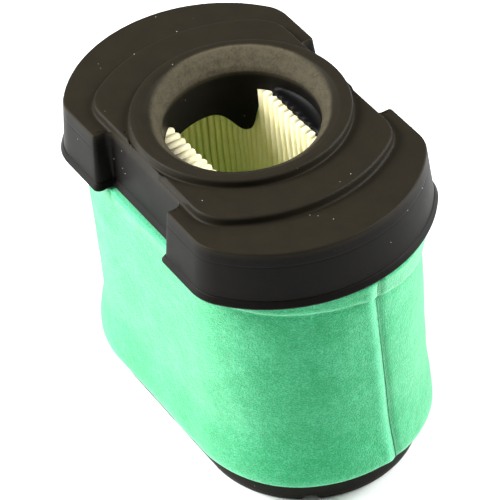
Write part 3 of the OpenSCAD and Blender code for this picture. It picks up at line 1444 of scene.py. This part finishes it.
@dataclass
class FoamSleeve:
    """The pre-cleaner: one strip of foam closed by a glued butt joint near the end at +X."""

    span: Span
    around: int = 440
    wall: float = 4.5
    row_gap: float = 1.15
    seam_y: float = 7.0
    seam_lean: float = 4.0
    ridge: float = 0.55
    fold: float = 0.55
    hug: float = 0.5
    left_hug: float = 1.2
    foot: float = 1.5
    left_foot: float = 0.5
    back_foot: float = 2.3
    front_foot: float = 0.9
    foot_high: float = 26.0
    foot_climb: float = 25.0
    collar: float = 0.7
    right_collar: float = 2.8
    collar_high: float = 7.0
    right_high: float = 9.0
    band: float = 0.95
    groove: float = 0.35
    glue_inset: float = 1.2
    glue_rows: int = 60
    glue_half: float = 0.24
    glue_deep: float = 1.6
    waves: tuple[tuple[float, float, float], ...] = (
        (0.4, 38, 4.2), (0.2, 13, 2.1), (0.1, 3.2, 9.0))

    def seam_at(self, z: float) -> float:
        """Where the leaning butt joint is, across the part, at one level."""
        depth = (self.span.high - z) / (self.span.high - self.span.low)
        return self.seam_y - self.seam_lean * (0.5 - depth)

    def outward(self, feet: np.ndarray, outs: np.ndarray,
                z: float) -> tuple[np.ndarray, np.ndarray, np.ndarray]:
        """How far the outer skin stands from the plain oval at one level.

        Args:
            feet: Feet of the stations on the spine.
            outs: Outward directions of the stations.
            z: Level in millimetres.

        Returns:
            The offset, the painted shade of the seam's crease, and the painted highlight along the
            collar's lower edge.
        """
        high, low, spine = self.span.high, self.span.low, self.span.spine
        loop = feet + outs * self.span.half_y
        turn = np.degrees(np.arctan2(outs[:, 1], outs[:, 0]))
        front = feet[:, 0] > 0
        from_back = np.abs(turned(turn, 90))
        left = smooth(-loop[:, 1], -20, 30)
        back_left = bell(turned(turn, -150), 0, 32) * smooth(-feet[:, 0], 0, spine)
        front_left = bell(turned(turn, -48), 0, 30) * smooth(feet[:, 0], 0, spine)
        hug = -self.hug - self.left_hug * left
        foot = (self.foot + self.left_foot * left + self.back_foot * back_left
                + self.front_foot * front_left)
        foot = foot * float(smooth(np.array(low + self.foot_high - z), 0, self.foot_climb))
        right = np.where(front, smooth(turn, -25, 75), 1 - smooth(from_back, 20, 110))
        held = np.where(front, smooth(turn, -84, -50), 1 - smooth(from_back, 60, 130))
        depth = high - z
        reach = self.collar_high + self.right_high * right
        flare = np.clip(1 - depth / reach, 0, 1)
        band = held * smooth(reach - depth, -0.35, 0.5)
        # Painted highlight along the collar's lower edge
        rim = held * bell(depth - reach, -0.2, 0.8)
        collar = ((self.collar + self.right_collar * right) * flare + self.band * band
                  - self.groove * held * bell(depth - reach, 1.0, 0.8))
        points = at_height(loop, z)
        soft = sum(tall * wobble(points, size, seed) for tall, size, seed in self.waves)
        across = loop[:, 1] - self.seam_at(z)
        ridge = front * self.ridge * bell(across, -2.4, 2.8)
        fold = front * bell(across, 0.8, 1.7)
        crease = front * bell(across, 1.3, 1.8)
        return collar + hug + foot + soft + ridge - self.fold * fold, crease, rim

    def build(self, material: bpy.types.Material) -> bpy.types.Object:
        """Makes the sleeve.

        Args:
            material: The foam.

        Returns:
            The finished piece.
        """
        feet, outs = oval_loop(self.span.spine, self.around)
        low, high = self.span.low, self.span.high
        outer, inner = self.span.half_y, self.span.half_y - self.wall
        section = rounded([(inner, low, 0.6), (outer - 0.2, low, 1.6), (outer, high, 1.3),
                           (inner, high, 0.6), (inner, low, 0)], 4)
        rows, crease, cut = [], [], []
        for across, z in fill_line(section, self.row_gap)[:-1]:
            push, fold, edge = self.outward(feet, outs, z)
            share = (across - inner) / self.wall
            rows.append(at_height(feet + outs * (across + push * share)[:, None], z))
            # Painted shade of the seam's crease, fading towards the inner face
            crease.append(fold * share)
            rim = float(bell(np.array(z), low, 2.2)) + (1.0 if z > high - 0.4 else 0.0)
            skin_y = feet[:, 1] + outs[:, 1] * outer
            beside = bell(skin_y, self.seam_at(z) - 2.0, 2.4) * (feet[:, 0] > 0)
            # Pale edges at the top, bottom and beside the seam, plus the painted highlight on the
            # collar's lower edge
            cut.append(np.clip(rim + 0.85 * beside + 0.8 * edge * share, 0, 1))
        piece = ring_mesh("foam_pre_cleaner", np.array(rows), True,
                          {"crease": np.array(crease), "cut": np.array(cut)})
        settle(piece, Body.SLEEVE, material, ["foam_sleeve"])
        return piece

    def glue(self, material: bpy.types.Material) -> bpy.types.Object:
        """Makes the thin line of glue at the bottom of the crease.

        Args:
            material: The glue.

        Returns:
            The finished piece.
        """
        foot = np.array([self.span.spine, 0.0])
        rows = []
        for z in np.linspace(self.span.low + self.glue_inset, self.span.high - self.glue_inset,
                             self.glue_rows):
            angle = math.asin((self.seam_at(z) + 0.35) / self.span.half_y)
            out = np.array([math.cos(angle), math.sin(angle)])
            along = np.array([-out[1], out[0]])
            push = self.outward(np.array([foot]), np.array([out]), z)[0]
            proud = 0.06 + 0.1 * noise.noise(Vector((0, 0, z * 0.9)))
            face = self.span.half_y + float(push[0]) + proud
            half = self.glue_half + 0.1 * noise.noise(Vector((4, 0, z * 0.7)))
            section = [(0.0, half), (-0.6, half), (-self.glue_deep, 0.2),
                       (-self.glue_deep, -0.2), (-0.6, -half), (0.0, -half)]
            rows.append([np.append(foot + out * (face + dx) + along * dy, z)
                         for dx, dy in section])
        piece = ring_mesh("foam_butt_joint", np.array(rows), False)
        return settle(piece, Body.SLEEVE, material, ["foam_seam"])


# -- studio

@dataclass
class Studio:
    """Camera, lights and floor."""

    azimuth: float = -28.42
    elevation: float = 41.66
    roll: float = -5.71
    distance: float = 1.2142
    shift_right: float = -0.00647
    shift_up: float = 0.04787
    lens: float = 223.9
    lift: float = 0.0022
    floor_half: float = 6.0
    floor_drop: float = 0.0002
    aim_height: float = 0.07
    world_light: float = 0.25

    def axes(self) -> tuple[Vector, Vector, Vector]:
        """Works out how the camera is turned.

        Returns:
            Its right, up and backward directions.
        """
        a, e, r = (math.radians(v) for v in (self.azimuth, self.elevation, self.roll))
        back = Vector((math.cos(a) * math.cos(e), math.sin(a) * math.cos(e), math.sin(e)))
        side = Vector((0, 0, 1)).cross(back).normalized()
        rise = back.cross(side)
        right = math.cos(r) * side + math.sin(r) * rise
        return right, -math.sin(r) * side + math.cos(r) * rise, back

    def camera(self) -> None:
        """Makes the camera."""
        right, up, back = self.axes()
        data = bpy.data.cameras.new("camera")
        data.lens, data.sensor_width = self.lens, 36.0
        data.clip_start, data.clip_end = 0.05, 30.0
        made = linked("camera", data)
        turn = Matrix((right, up, back)).transposed().to_4x4()
        made.matrix_world = Matrix.Translation(
            back * self.distance + right * self.shift_right + up * self.shift_up
            + Vector((0, 0, self.lift))) @ turn
        bpy.context.scene.camera = made

    def softbox(self, name: str, turn: float, rise: float, away: float,
                size: tuple[float, float], power: float) -> None:
        """Makes one area light aimed at the middle of the part.

        Args:
            name: The light's name.
            turn: Direction round the part from the camera's side, in degrees.
            rise: Height above the horizon, in degrees.
            away: Distance in metres.
            size: Width and height in metres.
            power: Power in watts.
        """
        a, e = math.radians(self.azimuth + turn), math.radians(rise)
        toward = Vector((math.cos(a) * math.cos(e), math.sin(a) * math.cos(e), math.sin(e)))
        data = bpy.data.lights.new(name, "AREA")
        data.shape, data.size, data.size_y, data.energy = "RECTANGLE", size[0], size[1], power
        made = linked(name, data)
        made.location = toward * away + Vector((0, 0, self.aim_height))
        made.rotation_euler = toward.to_track_quat("Z", "Y").to_euler()

    def build(self) -> None:
        """Makes the camera, the floor, the world and the lights."""
        self.camera()
        mesh = bpy.data.meshes.new("floor")
        h = self.floor_half
        mesh.from_pydata([(-h, -h, 0), (h, -h, 0), (h, h, 0), (-h, h, 0)], [], [(0, 1, 2, 3)])
        mesh.materials.append(FloorFinish().build())
        floor = linked("floor", mesh)
        floor.location.z = -self.floor_drop
        world = bpy.data.worlds.new("studio")
        bpy.context.scene.world = world
        world.use_nodes = True
        sky = world.node_tree.nodes["Background"]
        sky.inputs["Color"].default_value = (1, 1, 1, 1)
        sky.inputs["Strength"].default_value = self.world_light
        low_box = {"rise": 18, "away": 0.8, "size": (0.5, 0.6)}
        high_box = {"away": 1.0, "size": (0.35, 0.35)}
        self.softbox("left_box", turn=-100, power=6.6, **low_box)
        self.softbox("right_box", turn=100, power=7.2, **low_box)
        self.softbox("upper_left_box", turn=-95, rise=42, power=14, **high_box)
        self.softbox("upper_right_box", turn=90, rise=45, power=8, **high_box)
        view = bpy.context.scene.view_settings
        view.view_transform, view.look, view.exposure = "Standard", "None", 0.0


# -- the whole part

def main() -> None:
    """Builds the studio and every piece of the cartridge, in order."""
    logging.basicConfig(level=logging.INFO, format="%(name)s: %(message)s")
    Studio().build()
    rubber = RubberFinish().build()
    paper = PaperFinish().build()
    foam = FoamFinish().build()
    adhesive = GlueFinish("bead_adhesive", tint=(0.82, 0.78, 0.62, 1),
                          deep=(0.7, 0.64, 0.45, 1)).build()
    seam_glue = GlueFinish("seam_glue", tint=(0.012, 0.19, 0.085, 1),
                           deep=(0.006, 0.12, 0.05, 1), roughness=0.8).build()
    paper_span = Span.of("pleated_paper")
    TopCap(Span.of("top_cap"), paper_span).build(rubber)
    BottomCap(Span.of("bottom_cap")).build(rubber)
    pleats = Pleats(paper_span)
    pleats.build(paper)
    for node in ("upper_pleat_bead", "lower_pleat_bead"):
        pleats.bead(node, adhesive)
    joint = frame["nodes"]["paper_joint"]
    joint.data.materials.clear()
    joint.data.materials.append(adhesive)
    sleeve = FoamSleeve(Span.of("foam_sleeve"))
    sleeve.build(foam)
    sleeve.glue(seam_glue)


if __name__ == "__main__":
    main()
